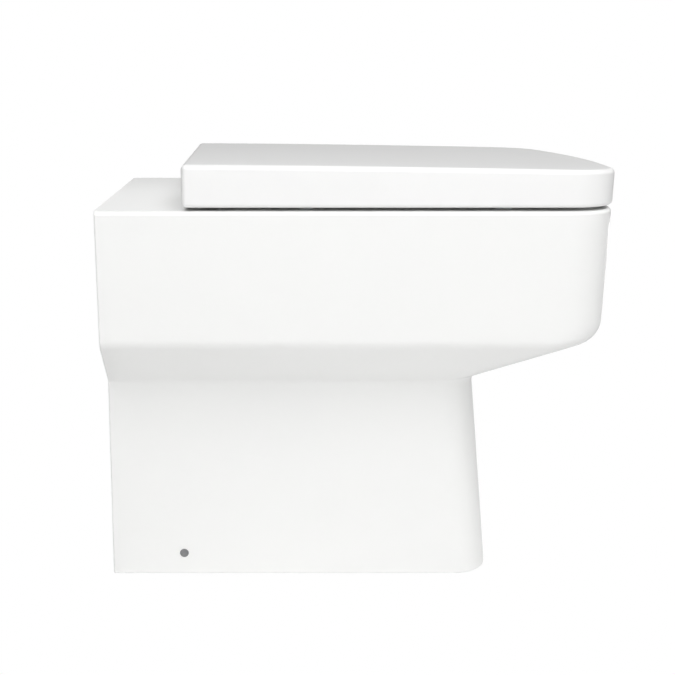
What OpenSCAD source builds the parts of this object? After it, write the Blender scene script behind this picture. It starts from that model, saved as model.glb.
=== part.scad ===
// Back to wall toilet: a one-piece vitreous china pan with a P trap, a wrap-over
// lid and a seat ring on two steel pillars with soft-close dampers, and the side
// fixings that hold the foot to the floor.
//
// Frame: millimetres, +Z up, the front faces -Y. The origin is on the floor, in the
// middle of the overall length and width. Places along the length are given as the
// distance forward of the wall, and from_wall() turns them into Y.

/* [Pan outside] */
// Width of the pan at its rim
pan_w = 360; // [340:5:400]
// Height of the rim above the floor
pan_h = 400; // [395:5:450]
// Length of the pan from the wall to the middle of its front
pan_l = 514; // [500:1:560]
// How much narrower each side is at the lower edge of the upper body
side_draft = 6.5; // [2:0.5:12]
// Height of the lower edge of the upper body's sides
body_edge_h = 266; // [255:1:280]
// Height where the pedestal meets the sloping band
waist_h = 216; // [205:1:230]
// Width of the pedestal at the waist
waist_w = 240; // [225:1:260]
// Distance from the wall to the front of the pedestal at the waist
waist_l = 389.5; // [380:0.5:405]
// Width of the pedestal at the floor
foot_w = 249; // [235:1:265]
// Distance from the wall to the front of the pedestal at the floor
foot_l = 413.5; // [405:0.5:430]
// Slope of the underside in front of the pedestal, above level
belly_slope = 23.5; // [21:0.5:26]
// Radius between the underside and the front face
lip_r = 25; // [18:1:30]
// Plan radius of the upper body's front corners
body_corner_r = 52; // [45:1:60]
// Plan radius of the pedestal's front corners
pedestal_corner_r = 40; // [30:1:50]
// Plan radius of the bowed front
front_bow_r = 850; // [750:10:1200]
// Plan radius of the upright edges at the wall
wall_edge_r = 2; // [1.5:0.5:4]
// Radius of the rim's outer edge
rim_edge_r = 4.5; // [3:0.5:6]

/* [Pan inside] */
// Thickness of the outer walls
china_t = 11; // [9:0.5:13]
// Thickness of the deck and the rim's top
deck_t = 18; // [15:1:22]
// Thickness of the bowl and trap walls
bowl_t = 9; // [8:0.5:10]
// Width of the bowl's mouth
bowl_w = 256; // [240:2:270]
// Distance from the wall to the back of the bowl's mouth
bowl_back = 150; // [145:1:158]
// Width of the rim in front of the bowl's mouth
rim_front = 41; // [38:1:50]
// Inside radius of the trap
trap_r = 38; // [36:0.5:40]
// Height of the soil outlet's centre above the floor
outlet_h = 180; // [175:1:185]
// Height of the weir, which sets the water level
weir_h = 225; // [222:1:228]
// Depth of the water seal
seal_depth = 50; // [48:1:54]
// Outside radius of the soil outlet spigot
spigot_r = 51; // [50:0.5:53]
// Distance from the wall to the end of the spigot
spigot_end = 42; // [35:1:48]
// Inside radius of the flush inlet socket
inlet_r = 27.5; // [26:0.5:28]
// Depth of the flush inlet socket
inlet_depth = 45; // [40:1:55]
// Distance from the wall to the mouth of the flush inlet
inlet_mouth = 26; // [20:1:34]
// Drop from the rim to the centre of the flush inlet
inlet_drop = 56; // [54:1:58]

/* [Lid] */
// Distance from the wall to the back of the lid
lid_back = 83; // [80:0.5:90]
// How far the lid stands out past the pan
lid_overhang = 0.5; // [0:0.25:2]
// Shadow gap between the lid and the rim
lid_gap = 3; // [2.6:0.2:4]
// Height of the lid at its back
lid_h_back = 40.4; // [39.4:0.2:42]
// Height of the lid at its front
lid_h_front = 34.4; // [33.6:0.2:38]
// Thickness of the lid's walls
lid_wall_t = 4; // [3.75:0.25:4.5]
// Thickness of the lid's top
lid_top_t = 4.5; // [3.5:0.25:5]
// Radius of the lid's upper edge
lid_edge_r = 5; // [4:0.5:6]
// Radius of the lid's lower edge
lid_foot_r = 3.5; // [3:0.25:3.5]

/* [Seat] */
// Clearance between the seat ring and the inside of the lid
seat_side_gap = 2; // [1.5:0.25:4]
// Thickness of the seat ring
seat_t = 18; // [16:0.5:18]
// Clearance under the seat ring, taken up by its buffers
seat_lift = 8; // [7:0.5:9]
// Width of the seat ring's opening
seat_hole_w = 216; // [200:2:230]
// Length of the seat ring's opening
seat_hole_l = 284; // [270:2:292]
// Width of the seat ring in front of its opening
seat_front = 62; // [56:1:66]
// Distance from the hinge axis to the back edge of the seat ring
seat_setback = 28; // [28:0.5:32]
// Radius of the seat ring's upper edges
seat_edge_r = 6; // [4:0.5:7]
// Radius of a seat buffer
buffer_r = 8; // [6:0.5:9]
// Radius of a buffer's stem
stem_r = 3; // [2.5:0.25:4]
// Depth of the socket that a buffer's stem is pressed into
stem_l = 5; // [4:0.5:7]
// Height of a lid buffer
lid_buffer_h = 4; // [3:0.25:4.5]

/* [Hinges] */
// Spacing of the two hinges
hinge_spacing = 155; // [140:1:165]
// Distance from the lid's back face to the hinge axis
hinge_inset = 13.5; // [13.5:0.25:14]
// Height of the hinge axis above the lid's lower edge
hinge_rise = 26; // [25.5:0.25:26.5]
// Radius of the knuckle on a pillar and of the barrels beside it
knuckle_r = 8; // [7.5:0.25:8.25]
// Width of the knuckle on a pillar
knuckle_w = 20; // [16:1:22]
// Distance from the hinge axis forward to the middle of a pillar
pillar_offset = 24; // [23.5:0.25:25]
// Radius of the pillar's neck
neck_r = 6; // [5.5:0.1:6.2]
// Radius of the pillar's foot
pillar_foot_r = 10; // [9:0.5:10.5]
// Thickness of the pillar's foot
pillar_foot_t = 3; // [2:0.25:4]
// Length of each barrel
barrel_l = 28; // [24:1:34]
// Radius of a damper's body and of a bush
damper_r = 6; // [5.5:0.25:6]
// Radius of a hinge shaft
shaft_r = 3; // [2.5:0.1:3.3]
// Depth that a hinge shaft is pressed into its knuckle
shaft_grip = 7.5; // [5:0.5:7.5]

/* [Seat fixings] */
// Radius of the seat fixing holes in the deck
fixing_hole_r = 7.5; // [7:0.25:8.5]
// Radius of a fixing stud
stud_r = 3.5; // [3:0.25:4]
// Length of a fixing stud
stud_l = 72; // [64:1:80]
// Depth that a fixing stud screws into its pillar
stud_grip = 14; // [10:0.5:16]
// Height of the rubber cone washer under the deck
cone_h = 10; // [8:0.5:14]
// Radius of the rubber cone washer at its foot
cone_r = 12.5; // [11:0.5:15]
// Radius of the steel washer
washer_r = 12; // [10:0.5:14]
// Thickness of the steel washer
washer_t = 1.6; // [1:0.2:2.5]
// Height of the wing nut's hub
nut_h = 9; // [7:0.5:12]
// Radius of the wing nut's hub
nut_r = 7.5; // [6:0.5:9]

/* [Floor fixings] */
// Distance from the wall to the side fixing screws
side_fix_back = 77; // [60:1:100]
// Height of the side fixing screws
side_fix_h = 24; // [20:0.5:30]
// Radius of a side screw's cap
cap_r = 4.7; // [4.5:0.1:5.5]
// Radius of a side screw's head
screw_head_r = 4.2; // [3.8:0.1:4.4]
// Height of a side screw's head
screw_head_t = 3; // [2:0.25:3.5]
// Radius of a side screw
screw_r = 2.5; // [2:0.1:3]
// Depth of the recess for the screw head
recess_depth = 5; // [4:0.5:6]
// Width of a floor bracket along the wall of the foot
bracket_w = 40; // [30:1:50]
// Height of a floor bracket
bracket_h = 46; // [38:1:55]
// Reach of a floor bracket across the floor
bracket_reach = 44; // [36:1:50]
// Thickness of a floor bracket
bracket_t = 4; // [3:0.25:5]
// Radius of a floor bracket's hole for the screw into the floor
floor_hole_r = 4.5; // [3.5:0.25:5]

/* [Inlet seal] */
// Inside radius of the seal, which grips the flush pipe
seal_bore_r = 20; // [18:0.5:21]
// Outside radius of the seal's flange
seal_flange_r = 33; // [30:0.5:34]
// Thickness of the seal's flange
seal_flange_t = 4; // [3:0.5:6]
// Length of the seal inside the inlet
seal_l = 32; // [24:1:38]

/* [Hidden] */
// Clearances: round a turning shaft, round a part that is pressed in, round a part
// that passes through, and between a part and the wall beside it
run_gap = 0.05;
press_gap = 0.02;
pass_gap = 0.3;
rest_gap = 0.1;
// How far a cutting shape runs past the face that it cuts, how deep a joined shape is
// sunk into the solid that carries it, and the facets of a drawn circle
cut = 1;
sunk = 2;
cyl_fn = 48;

overall_l = pan_l + lid_overhang;
wall_y = overall_l / 2;
lid_floor = pan_h + lid_gap;
axis_z = lid_floor + hinge_rise;
axis_back = lid_back + hinge_inset;
pillar_back = axis_back + pillar_offset;
hinge_x = hinge_spacing / 2;
seat_floor = pan_h + seat_lift;
seat_top = seat_floor + seat_t;
seat_back = axis_back + seat_setback;
lid_hw = pan_w / 2 + lid_overhang;
lid_l = pan_l + lid_overhang;
seat_inset = lid_wall_t + seat_side_gap;
hollow_top = pan_h - deck_t;

function from_wall(u) = wall_y - u;

// ---- outlines -------------------------------------------------------------

function arc(cx, cy, r, a0, a1, n) =
    [for (i = [0:n]) let (a = a0 + (a1 - a0) * i / n) [cx + r * cos(a), cy + r * sin(a)]];

// Points [x, distance from wall] of a squared outline with a bowed front.
// steps: segments in a rear corner, a side, a front corner, half the bow, the back.
function bowed(hw, back, front, corner, bow, rear, steps) =
    let (cy = front - bow + sqrt(pow(bow - corner, 2) - pow(hw - corner, 2)),
         lean = asin((hw - corner) / (bow - corner)),
         side0 = back + rear,
         right = concat(
             arc(hw - rear, side0, rear, -90, 0, steps[0]),
             [for (i = [1:1:steps[1] - 1]) [hw, side0 + (cy - side0) * i / steps[1]]],
             arc(hw - corner, cy, corner, 0, 90 - lean, steps[2]),
             [for (i = [1:steps[3] - 1])
                 let (a = 90 - lean + lean * i / steps[3])
                 [bow * cos(a), front - bow + bow * sin(a)]]),
         last = len(right) - 1,
         left = [for (i = [last:-1:0]) [-right[i][0], right[i][1]]],
         back_run = hw - rear)
    concat(right, [[0, front]], left,
           [for (i = [1:1:steps[4] - 1]) [-back_run + 2 * back_run * i / steps[4], back]]);

function sign_pow(v, p) = sign(v) * pow(abs(v), p);

// Points of a squared oval: power 2 is an ellipse, and higher is squarer.
function oval(hw, back, front, power, n) =
    let (mid = (back + front) / 2, hl = (front - back) / 2)
    [for (i = [0:n - 1]) let (a = 360 * i / n)
        [hw * sign_pow(cos(a), 2 / power), mid + hl * sign_pow(sin(a), 2 / power)]];

// The same oval's point in the direction of p from the oval's middle.
function oval_towards(p, hw, back, front, power) =
    let (mid = (back + front) / 2, hl = (front - back) / 2,
         dx = p[0], dy = p[1] - mid, d = sqrt(dx * dx + dy * dy),
         r = 1 / pow(pow(abs(dx / d) / hw, power) + pow(abs(dy / d) / hl, power), 1 / power))
    [dx / d * r, mid + dy / d * r];

// A ring of 3D points, anticlockwise from above, at one height.
function ring(points, z) =
    [for (i = [len(points) - 1:-1:0]) [points[i][0], from_wall(points[i][1]), z]];

// ---- solids ---------------------------------------------------------------

function wall_faces(n, a, b) =
    [for (j = [0:n - 1]) let (k = (j + 1) % n)
        each [[a * n + j, b * n + k, a * n + k], [a * n + j, b * n + j, b * n + k]]];

// The last ring's face as strips across the width, for a top that is crowned.
function crown_faces(n, first) = let (r = (n - 1) / 2)
    [for (k = [0:r - 1])
        k < r - 1 ? [first + 2 * r - k, first + 2 * r - k - 1, first + k + 1, first + k]
                  : [first + r + 1, first + r, first + r - 1]];

// A closed solid through rings that climb.
module skin(rings, crowned) {
    n = len(rings[0]);
    m = len(rings);
    polyhedron(
        points = [for (r = rings) each r],
        faces = concat([[for (j = [0:n - 1]) j]],
                       [for (i = [0:m - 2]) each wall_faces(n, i, i + 1)],
                       crowned ? crown_faces(n, (m - 1) * n)
                               : [[for (j = [n - 1:-1:0]) (m - 1) * n + j]]));
}

// A closed band: its rings go up the outside, over the top and down the inside.
module band(rings) {
    n = len(rings[0]);
    m = len(rings);
    polyhedron(points = [for (r = rings) each r],
               faces = [for (i = [0:m - 1]) each wall_faces(n, i, (i + 1) % m)]);
}

// A cylinder across the width, from x0 to x1.
module across(r, x0, x1, back, z) {
    translate([min(x0, x1), from_wall(back), z]) rotate([0, 90, 0])
        cylinder(r = r, h = abs(x1 - x0), $fn = cyl_fn);
}

// A cylinder along the length, from back to front, measured from the wall.
module along(r, back, front, x, z) {
    translate([x, from_wall(back), z]) rotate([90, 0, 0])
        cylinder(r = r, h = front - back, $fn = cyl_fn);
}

// An upright cylinder.
module post(r, z0, z1, x, back) {
    translate([x, from_wall(back), z0]) cylinder(r = r, h = z1 - z0, $fn = cyl_fn);
}

// A box from corner to corner, with its length measured from the wall.
module block(x0, x1, back, front, z0, z1) {
    translate([min(x0, x1), from_wall(front), z0]) cube([abs(x1 - x0), front - back, z1 - z0]);
}

// ---- pan ------------------------------------------------------------------

pan_steps = [2, 1, 7, 4, 1];
foot_edge = 2;

// Half width of the pan's outside at a height.
function pan_hw(z) = lookup(z, [
    [0, foot_w / 2], [waist_h, waist_w / 2],
    [body_edge_h, pan_w / 2 - side_draft], [pan_h, pan_w / 2]]);

// The front profile: a leaning pedestal, a sloping belly and a rounded lip.
lip_z = waist_h + (pan_l - waist_l) * tan(belly_slope);
lip_tangent = lip_r * tan((90 - belly_slope) / 2);
lip_n = 4;
lip_arc = [for (p = arc(pan_l - lip_r, lip_z + lip_tangent, lip_r, belly_slope - 90, 0, lip_n))
    [p[1], p[0]]];
front_profile = concat([[0, foot_l], [waist_h, waist_l]], lip_arc, [[pan_h, pan_l]]);

function pan_front(z) = lookup(z, front_profile);

function pan_corner(z) = lookup(z, [[0, pedestal_corner_r], [waist_h, pedestal_corner_r],
                                    [body_edge_h, body_corner_r]]);

// The pan's outline at height z, drawn in by an inset and laid at another level.
function pan_ring(z, inset, back, level) =
    ring(bowed(pan_hw(z) - inset, back, pan_front(z) - inset, pan_corner(z) - inset,
               front_bow_r - inset, wall_edge_r, pan_steps), level);

// Values in rising order, without any that nearly repeats another.
function rising(v) = len(v) < 2 ? v :
    let (rest = [for (i = [1:len(v) - 1]) v[i]])
    concat(rising([for (x = rest) if (x < v[0] - 0.5) x]), [v[0]],
           rising([for (x = rest) if (x > v[0] + 0.5) x]));

pan_levels = rising(concat([body_edge_h, waist_h, foot_edge, pan_h - rim_edge_r],
                           [for (p = lip_arc) p[0]]));

module pan_outside() {
    edge = [for (a = [30:30:90]) [rim_edge_r * (1 - cos(a)), rim_edge_r * (1 - sin(a))]];
    skin(concat(
        [pan_ring(0, foot_edge / 2, 0, 0)],
        [for (z = pan_levels) pan_ring(z, 0, 0, z)],
        [for (e = edge) pan_ring(pan_h, e[0], 0, pan_h - e[1])]), false);
}

// The hollow follows the outside, set in by the wall and lifted over the band.
hollow_lift = china_t * 0.55;

module pan_hollow() {
    levels = [for (z = pan_levels) if (z > foot_edge && z + hollow_lift < hollow_top - 5) z];
    skin(concat(
        [pan_ring(0, china_t, -cut, -cut)],
        [for (z = levels) pan_ring(z, china_t, -cut, z + hollow_lift)],
        [pan_ring(pan_h, china_t, -cut, hollow_top)]), false);
}

// Trap centreline as [distance from wall, height, direction]: a run in from the
// spigot, a bend upwards, the crown, and a leg down to the sump.
bend_r = 58;
crown_r = trap_r + bowl_t + 3;
leg_slope = 75;
spigot_l = 38;
bend_start = spigot_end + spigot_l;
crown_top = weir_h + trap_r;
rise = acos(1 - (crown_top - outlet_h) / (bend_r + crown_r));
crown_u = bend_start + (bend_r + crown_r) * sin(rise);
crown_z = crown_top - crown_r;
leg_top = [crown_u + crown_r * sin(leg_slope), crown_z + crown_r * cos(leg_slope)];
dip_z = weir_h - seal_depth;
sump_z = dip_z - trap_r;
leg_l = (leg_top[1] - sump_z) / sin(leg_slope);

function trap_path(lead, tail) = concat(
    [[bend_start - lead, outlet_h, 0]],
    [for (i = [0:5]) let (a = rise * i / 5)
        [bend_start + bend_r * sin(a), outlet_h + bend_r * (1 - cos(a)), a]],
    [for (i = [1:10]) let (a = rise - (rise + leg_slope) * i / 10)
        [crown_u - crown_r * sin(a), crown_z + crown_r * cos(a), a]],
    [[leg_top[0] + (leg_l + tail) * cos(leg_slope), leg_top[1] - (leg_l + tail) * sin(leg_slope),
      -leg_slope]]);

// A round pipe along a path, with flats above and below.
module pipe(path, r) {
    n = 20;
    skin([for (p = path) [for (j = [0:n - 1])
        let (a = 360 * (j + 0.5) / n, over = r * sin(a))
        [r * cos(a), from_wall(p[0]) + over * sin(p[2]), p[1] + over * cos(p[2])]]], false);
}

// The bowl: [height, back, front, half width, squareness] from the sump to the mouth.
bowl_front = pan_l - rim_front;
bowl_hw = bowl_w / 2;
dip_u = leg_top[0] + (leg_top[1] - dip_z) / tan(leg_slope) + (trap_r + bowl_t) / sin(leg_slope);
bowl_n = 40;
bowl_levels = [
    [sump_z - trap_r,      dip_u - 12,     dip_u + 10,      14, 2],
    [sump_z - trap_r + 6,  dip_u - 26,     dip_u + 26,      28, 2],
    [sump_z - 12,          dip_u - 34,     dip_u + 44,      38, 2],
    [dip_z - 22,           dip_u - 30,     dip_u + 56,      43, 2.1],
    [dip_z,                dip_u + 2,      dip_u + 64,      48, 2.1],
    [dip_z + 15,           dip_u - 2,      dip_u + 71,      53, 2.1],
    [weir_h,               dip_u - 11,     dip_u + 90,      67, 2.2],
    [weir_h + 35,          dip_u - 26,     bowl_front - 62, 88, 2.4],
    [weir_h + 55,          dip_u - 40,     bowl_front - 46, 98, 2.5],
    [weir_h + 75,          dip_u - 64,     bowl_front - 32, 107, 2.6],
    [pan_h - 78,           bowl_back + 40, bowl_front - 18, bowl_hw - 12, 2.8],
    [pan_h - 64,           bowl_back + 14, bowl_front - 9,  bowl_hw - 7, 3],
    [pan_h - 50,           bowl_back + 4,  bowl_front - 3,  bowl_hw - 3, 3.2],
    [pan_h - 30,           bowl_back,      bowl_front,      bowl_hw, 3.3]];
mouth_r = 5;

function bowl_ring(l, grow, z) =
    ring(oval(l[3] + grow, l[1] - grow, l[2] + grow, l[4], bowl_n), z);

module bowl_void() {
    mouth = bowl_levels[len(bowl_levels) - 1];
    skin(concat(
        [for (l = bowl_levels) bowl_ring(l, 0, l[0])],
        [bowl_ring(mouth, 0, pan_h - mouth_r),
         bowl_ring(mouth, mouth_r * 0.3, pan_h - mouth_r * 0.3),
         bowl_ring(mouth, mouth_r, pan_h),
         bowl_ring(mouth, mouth_r, pan_h + cut)]), false);
}

// The bowl's outside, up to the underside of the deck.
module bowl_solid() {
    last = len(bowl_levels) - 1;
    skin(concat(
        [bowl_ring(bowl_levels[0], bowl_t, bowl_levels[0][0] - bowl_t)],
        [for (i = [1:last - 1]) bowl_ring(bowl_levels[i], bowl_t, bowl_levels[i][0] - bowl_t / 2)],
        [bowl_ring(bowl_levels[last], bowl_t, bowl_levels[last][0]),
         bowl_ring(bowl_levels[last], bowl_t, hollow_top)]), false);
}

// The flush inlet: a horn that hangs under the deck on a web, with a wide socket for
// the seal and a narrower throat on into the bowl.
inlet_z = pan_h - inlet_drop;
horn_t = 8.5;
horn_r = inlet_r + horn_t;
throat_r = 16;
horn_end = bowl_back + 20;
throat_end = horn_end + 14;

module inlet_horn() {
    web_hw = horn_r * 0.6;
    web_inset = 5;
    along(horn_r, inlet_mouth, horn_end, 0, inlet_z);
    block(-web_hw, web_hw, inlet_mouth + web_inset, horn_end - web_inset, inlet_z, hollow_top);
}

module inlet_bore() {
    along(inlet_r, inlet_mouth - cut, inlet_mouth + inlet_depth, 0, inlet_z);
    along(throat_r, inlet_mouth, throat_end, 0, inlet_z);
}

outlet_r = trap_r + 3;

// Where the pedestal's face stands at the side screws.
screw_face = pan_hw(side_fix_h);

// The pan is one casting. It is drawn as four pieces that meet face to face: the outer
// body with its deck, the bowl, the trap with the outlet, and the flush inlet.
module pan() {
    color([0.94, 0.945, 0.94]) difference() {
        pan_outside();
        pan_hollow();
        bowl_solid();
        bowl_void();
        for (side = [-1, 1]) {
            post(fixing_hole_r, hollow_top - cut, pan_h + cut, side * hinge_x, pillar_back);
            across(screw_r + pass_gap, side * (screw_face - china_t * 2), side * screw_face,
                   side_fix_back, side_fix_h);
            across(cap_r + rest_gap, side * (screw_face - recess_depth), side * (screw_face + cut),
                   side_fix_back, side_fix_h);
        }
    }
}

module bowl() {
    color([0.94, 0.945, 0.94]) difference() {
        bowl_solid();
        bowl_void();
        pipe(trap_path(1, 0), trap_r);
        inlet_bore();
    }
}

module trap() {
    color([0.94, 0.945, 0.94]) difference() {
        union() {
            pipe(trap_path(2, bowl_t), trap_r + bowl_t);
            along(spigot_r, spigot_end, bend_start + rest_gap, 0, outlet_h);
        }
        bowl_solid();
        pipe(trap_path(1, 0), trap_r);
        along(outlet_r, spigot_end - cut, bend_start, 0, outlet_h);
    }
}

module flush_inlet() {
    color([0.94, 0.945, 0.94]) difference() {
        inlet_horn();
        bowl_solid();
        pipe(trap_path(2, bowl_t), trap_r + bowl_t);
        inlet_bore();
    }
}

// ---- lid ------------------------------------------------------------------

lid_corner_r = body_corner_r + lid_overhang;
lid_bow_r = front_bow_r + lid_overhang;
lid_rear_r = 5;

// Height of the lid's upper face at a distance from the wall: level at its back, and
// falling faster towards its front.
function lid_top(u) = lid_floor + lid_h_back
    - (lid_h_back - lid_h_front) * pow(max(u - lid_back, 0) / (lid_l - lid_back), 1.5);

function lid_outline(inset, steps) =
    bowed(lid_hw - inset, lid_back + inset, lid_l - inset, lid_corner_r - inset,
          lid_bow_r - inset, max(lid_rear_r - inset, 0.5), steps);

lid_steps = [3, 9, 10, 5, 1];

function lid_ring(inset, z) = ring(lid_outline(inset, lid_steps), z);

// A ring at a depth under the lid's sloping upper face.
function lid_top_ring(inset, depth) =
    [for (p = lid_ring(inset, 0)) [p[0], p[1], lid_top(wall_y - p[1]) - depth]];

module lid_outside() {
    skin(concat(
        [for (a = [0:30:90])
            lid_ring(lid_foot_r * (1 - sin(a)), lid_floor + lid_foot_r * (1 - cos(a)))],
        [for (a = [0:22.5:90])
            lid_top_ring(lid_edge_r * (1 - cos(a)), lid_edge_r * (1 - sin(a)))]), true);
}

module lid_hollow() {
    r = lid_edge_r - lid_wall_t / 2;
    skin(concat(
        [lid_ring(lid_wall_t, lid_floor - cut)],
        [for (a = [0:30:90])
            lid_top_ring(lid_wall_t + r * (1 - cos(a)), lid_top_t + r * (1 - sin(a)))]), true);
}

// The width along the hinge axis, counted outwards (out = 1) or inwards (out = -1)
// from the face of the knuckle on a side.
function hinge_place(side, out, d) = side * (hinge_x + out * (knuckle_w / 2 + d));

// A barrel beside a knuckle, and the blind bore with a keyway that it has for a damper
// or a bush, open towards the knuckle.
hinge_gap = 0.5;
barrel_end_t = 4;
cartridge_l = barrel_l - barrel_end_t;
key_w = 2.4;
key_h = 0.8;
key_root = 1;

module barrel(side, out) {
    across(knuckle_r, hinge_place(side, out, hinge_gap),
           hinge_place(side, out, hinge_gap + barrel_l), axis_back, axis_z);
}

module barrel_bore(side, out) {
    x0 = hinge_place(side, out, hinge_gap - cut);
    x1 = hinge_place(side, out, hinge_gap + cartridge_l);
    across(damper_r + press_gap, x0, x1, axis_back, axis_z);
    block(x0, x1, axis_back - key_w / 2 - press_gap, axis_back + key_w / 2 + press_gap,
          axis_z, axis_z + damper_r + key_h + press_gap);
}

// The slots in the lid's back that its pillars pass through, and the lid's buffers,
// each pressed into a boss under the lid's top.
slot_gap = 1.5;
slot_hw = max(knuckle_w / 2, pillar_foot_r) + slot_gap;
lid_buffer_x = lid_hw * 0.53;
lid_buffer_back = lid_l - seat_front + sunk;
lid_buffer_r = buffer_r - 1;
lid_stem_l = stem_l - 1;
lid_boss_r = 8;

module lid() {
    web = 4;
    color([0.97, 0.97, 0.965]) difference() {
        union() {
            difference() {
                lid_outside();
                lid_hollow();
            }
            for (side = [-1, 1]) {
                x0 = hinge_place(side, 1, hinge_gap);
                x1 = hinge_place(side, 1, hinge_gap + barrel_l);
                barrel(side, 1);
                block(x0, x1, axis_back - web, axis_back + web, axis_z + web,
                      lid_top(axis_back) - sunk);
                block(x0, x1, lid_back + sunk, axis_back - web, axis_z - web, axis_z + web);
                post(lid_boss_r, seat_top + lid_buffer_h, lid_top(lid_buffer_back) - sunk,
                     side * lid_buffer_x, lid_buffer_back);
            }
        }
        for (side = [-1, 1]) {
            barrel_bore(side, 1);
            block(side * hinge_x - slot_hw, side * hinge_x + slot_hw, lid_back - cut,
                  lid_back + lid_wall_t + cut, lid_floor - cut, lid_top(lid_back) - lid_top_t);
            post(stem_r + press_gap, seat_top, seat_top + lid_buffer_h + lid_stem_l,
                 side * lid_buffer_x, lid_buffer_back);
        }
    }
}

// ---- seat ring ------------------------------------------------------------

seat_steps = [2, 5, 7, 5, 8];
seat_l = lid_l - seat_inset;
seat_hole_front = seat_l - seat_front;
seat_hole_back = seat_hole_front - seat_hole_l;
seat_squareness = 2.4;
seat_under_r = 2;
seat_rear_r = 10;

function seat_outline(inset) =
    bowed(lid_hw - seat_inset - inset, seat_back + inset, seat_l - inset,
          lid_corner_r - seat_inset - inset, lid_bow_r - seat_inset - inset,
          max(seat_rear_r - inset, 1), seat_steps);

function seat_outer(inset, z) = ring(seat_outline(inset), z);

function seat_inner(grow, z) =
    ring([for (p = seat_outline(0)) oval_towards(p, seat_hole_w / 2 + grow, seat_hole_back - grow,
                                                 seat_hole_front + grow, seat_squareness)], z);

module seat_body() {
    band(concat(
        [seat_outer(seat_under_r, seat_floor), seat_outer(0, seat_floor + seat_under_r)],
        [for (a = [0:30:90])
            seat_outer(seat_edge_r * (1 - cos(a)), seat_top - seat_edge_r * (1 - sin(a)))],
        [for (a = [90:-30:0])
            seat_inner(seat_edge_r * (1 - cos(a)), seat_top - seat_edge_r * (1 - sin(a)))],
        [seat_inner(0, seat_floor + seat_under_r), seat_inner(seat_under_r, seat_floor)]));
}

// Buffer places as [x, distance from wall]: halfway across the rim, near both ends of
// the ring's straight sides.
buffer_x = (bowl_hw + mouth_r + pan_w / 2 - rim_edge_r) / 2;
buffer_places = [for (side = [-1, 1]) for (f = [0.2, 0.7])
    [side * buffer_x, seat_back + (seat_l - seat_back) * f]];

module seat_ring() {
    arm_floor = axis_z - (hinge_inset - lid_wall_t) + sunk;
    notch_hw = neck_r + slot_gap;
    color([0.97, 0.97, 0.965]) difference() {
        union() {
            seat_body();
            for (side = [-1, 1]) {
                barrel(side, -1);
                block(hinge_place(side, -1, hinge_gap), hinge_place(side, -1, hinge_gap + barrel_l),
                      axis_back, seat_back + seat_edge_r, arm_floor, seat_top);
            }
        }
        for (side = [-1, 1]) {
            barrel_bore(side, -1);
            block(side * hinge_x - notch_hw, side * hinge_x + notch_hw, pillar_back,
                  pillar_back + notch_hw, seat_floor - cut, seat_top + cut);
        }
        for (p = buffer_places) {
            post(stem_r + press_gap, seat_floor - cut, seat_floor + stem_l, p[0], p[1]);
        }
    }
}

module seat_buffers() {
    color([0.88, 0.88, 0.87]) for (p = buffer_places) {
        post(buffer_r, pan_h, seat_floor, p[0], p[1]);
        post(stem_r, seat_floor, seat_floor + stem_l, p[0], p[1]);
    }
}

module lid_buffers() {
    color([0.88, 0.88, 0.87]) for (side = [-1, 1]) {
        post(lid_buffer_r, seat_top, seat_top + lid_buffer_h, side * lid_buffer_x,
             lid_buffer_back);
        post(stem_r, seat_top + lid_buffer_h, seat_top + lid_buffer_h + lid_stem_l,
             side * lid_buffer_x, lid_buffer_back);
    }
}

// ---- hinges ---------------------------------------------------------------

// A pillar stands on the deck, and its arm runs back to the knuckle on the hinge axis.
module pillar(side) {
    x = side * hinge_x;
    arm_h = knuckle_r - sunk;
    color([0.8, 0.81, 0.82]) difference() {
        union() {
            post(pillar_foot_r, pan_h, pan_h + pillar_foot_t, x, pillar_back);
            post(neck_r, pan_h, axis_z + arm_h, x, pillar_back);
            block(x - neck_r, x + neck_r, axis_back, pillar_back, axis_z - arm_h, axis_z + arm_h);
            across(knuckle_r, x - knuckle_w / 2, x + knuckle_w / 2, axis_back, axis_z);
        }
        post(stud_r + press_gap, pan_h - cut, pan_h + stud_grip, x, pillar_back);
        for (out = [-1, 1]) {
            across(shaft_r + press_gap, hinge_place(side, out, -shaft_grip),
                   hinge_place(side, out, cut), axis_back, axis_z);
        }
    }
}

module hinge_pillar_left() {
    pillar(-1);
}

module hinge_pillar_right() {
    pillar(1);
}

bearing_end_t = 4;
bearing_l = cartridge_l - bearing_end_t;

module key(side, out) {
    block(hinge_place(side, out, hinge_gap), hinge_place(side, out, hinge_gap + bearing_l),
          axis_back - key_w / 2, axis_back + key_w / 2, axis_z + damper_r - key_root,
          axis_z + damper_r + key_h);
}

module bearing_bore(side, out) {
    across(shaft_r + run_gap, hinge_place(side, out, hinge_gap - cut),
           hinge_place(side, out, hinge_gap + bearing_l), axis_back, axis_z);
}

// A damper's body: a barrel for the vanes and the grease, and a smaller end cap.
module damper(side, out) {
    cap_l = 5;
    cap_step = 1.2;
    color([0.2, 0.21, 0.22]) difference() {
        union() {
            across(damper_r, hinge_place(side, out, hinge_gap),
                   hinge_place(side, out, hinge_gap + cartridge_l - cap_l), axis_back, axis_z);
            across(damper_r - cap_step, hinge_place(side, out, hinge_gap + cut),
                   hinge_place(side, out, hinge_gap + cartridge_l), axis_back, axis_z);
            key(side, out);
        }
        bearing_bore(side, out);
    }
}

module bush(side, out) {
    color([0.93, 0.93, 0.92]) difference() {
        union() {
            across(damper_r, hinge_place(side, out, hinge_gap),
                   hinge_place(side, out, hinge_gap + cartridge_l), axis_back, axis_z);
            key(side, out);
        }
        bearing_bore(side, out);
    }
}

module hinge_shaft(side, out) {
    color([0.7, 0.71, 0.72])
        across(shaft_r, hinge_place(side, out, -shaft_grip),
               hinge_place(side, out, hinge_gap + bearing_l - pass_gap), axis_back, axis_z);
}

module lid_damper() {
    damper(1, 1);
}

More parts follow.
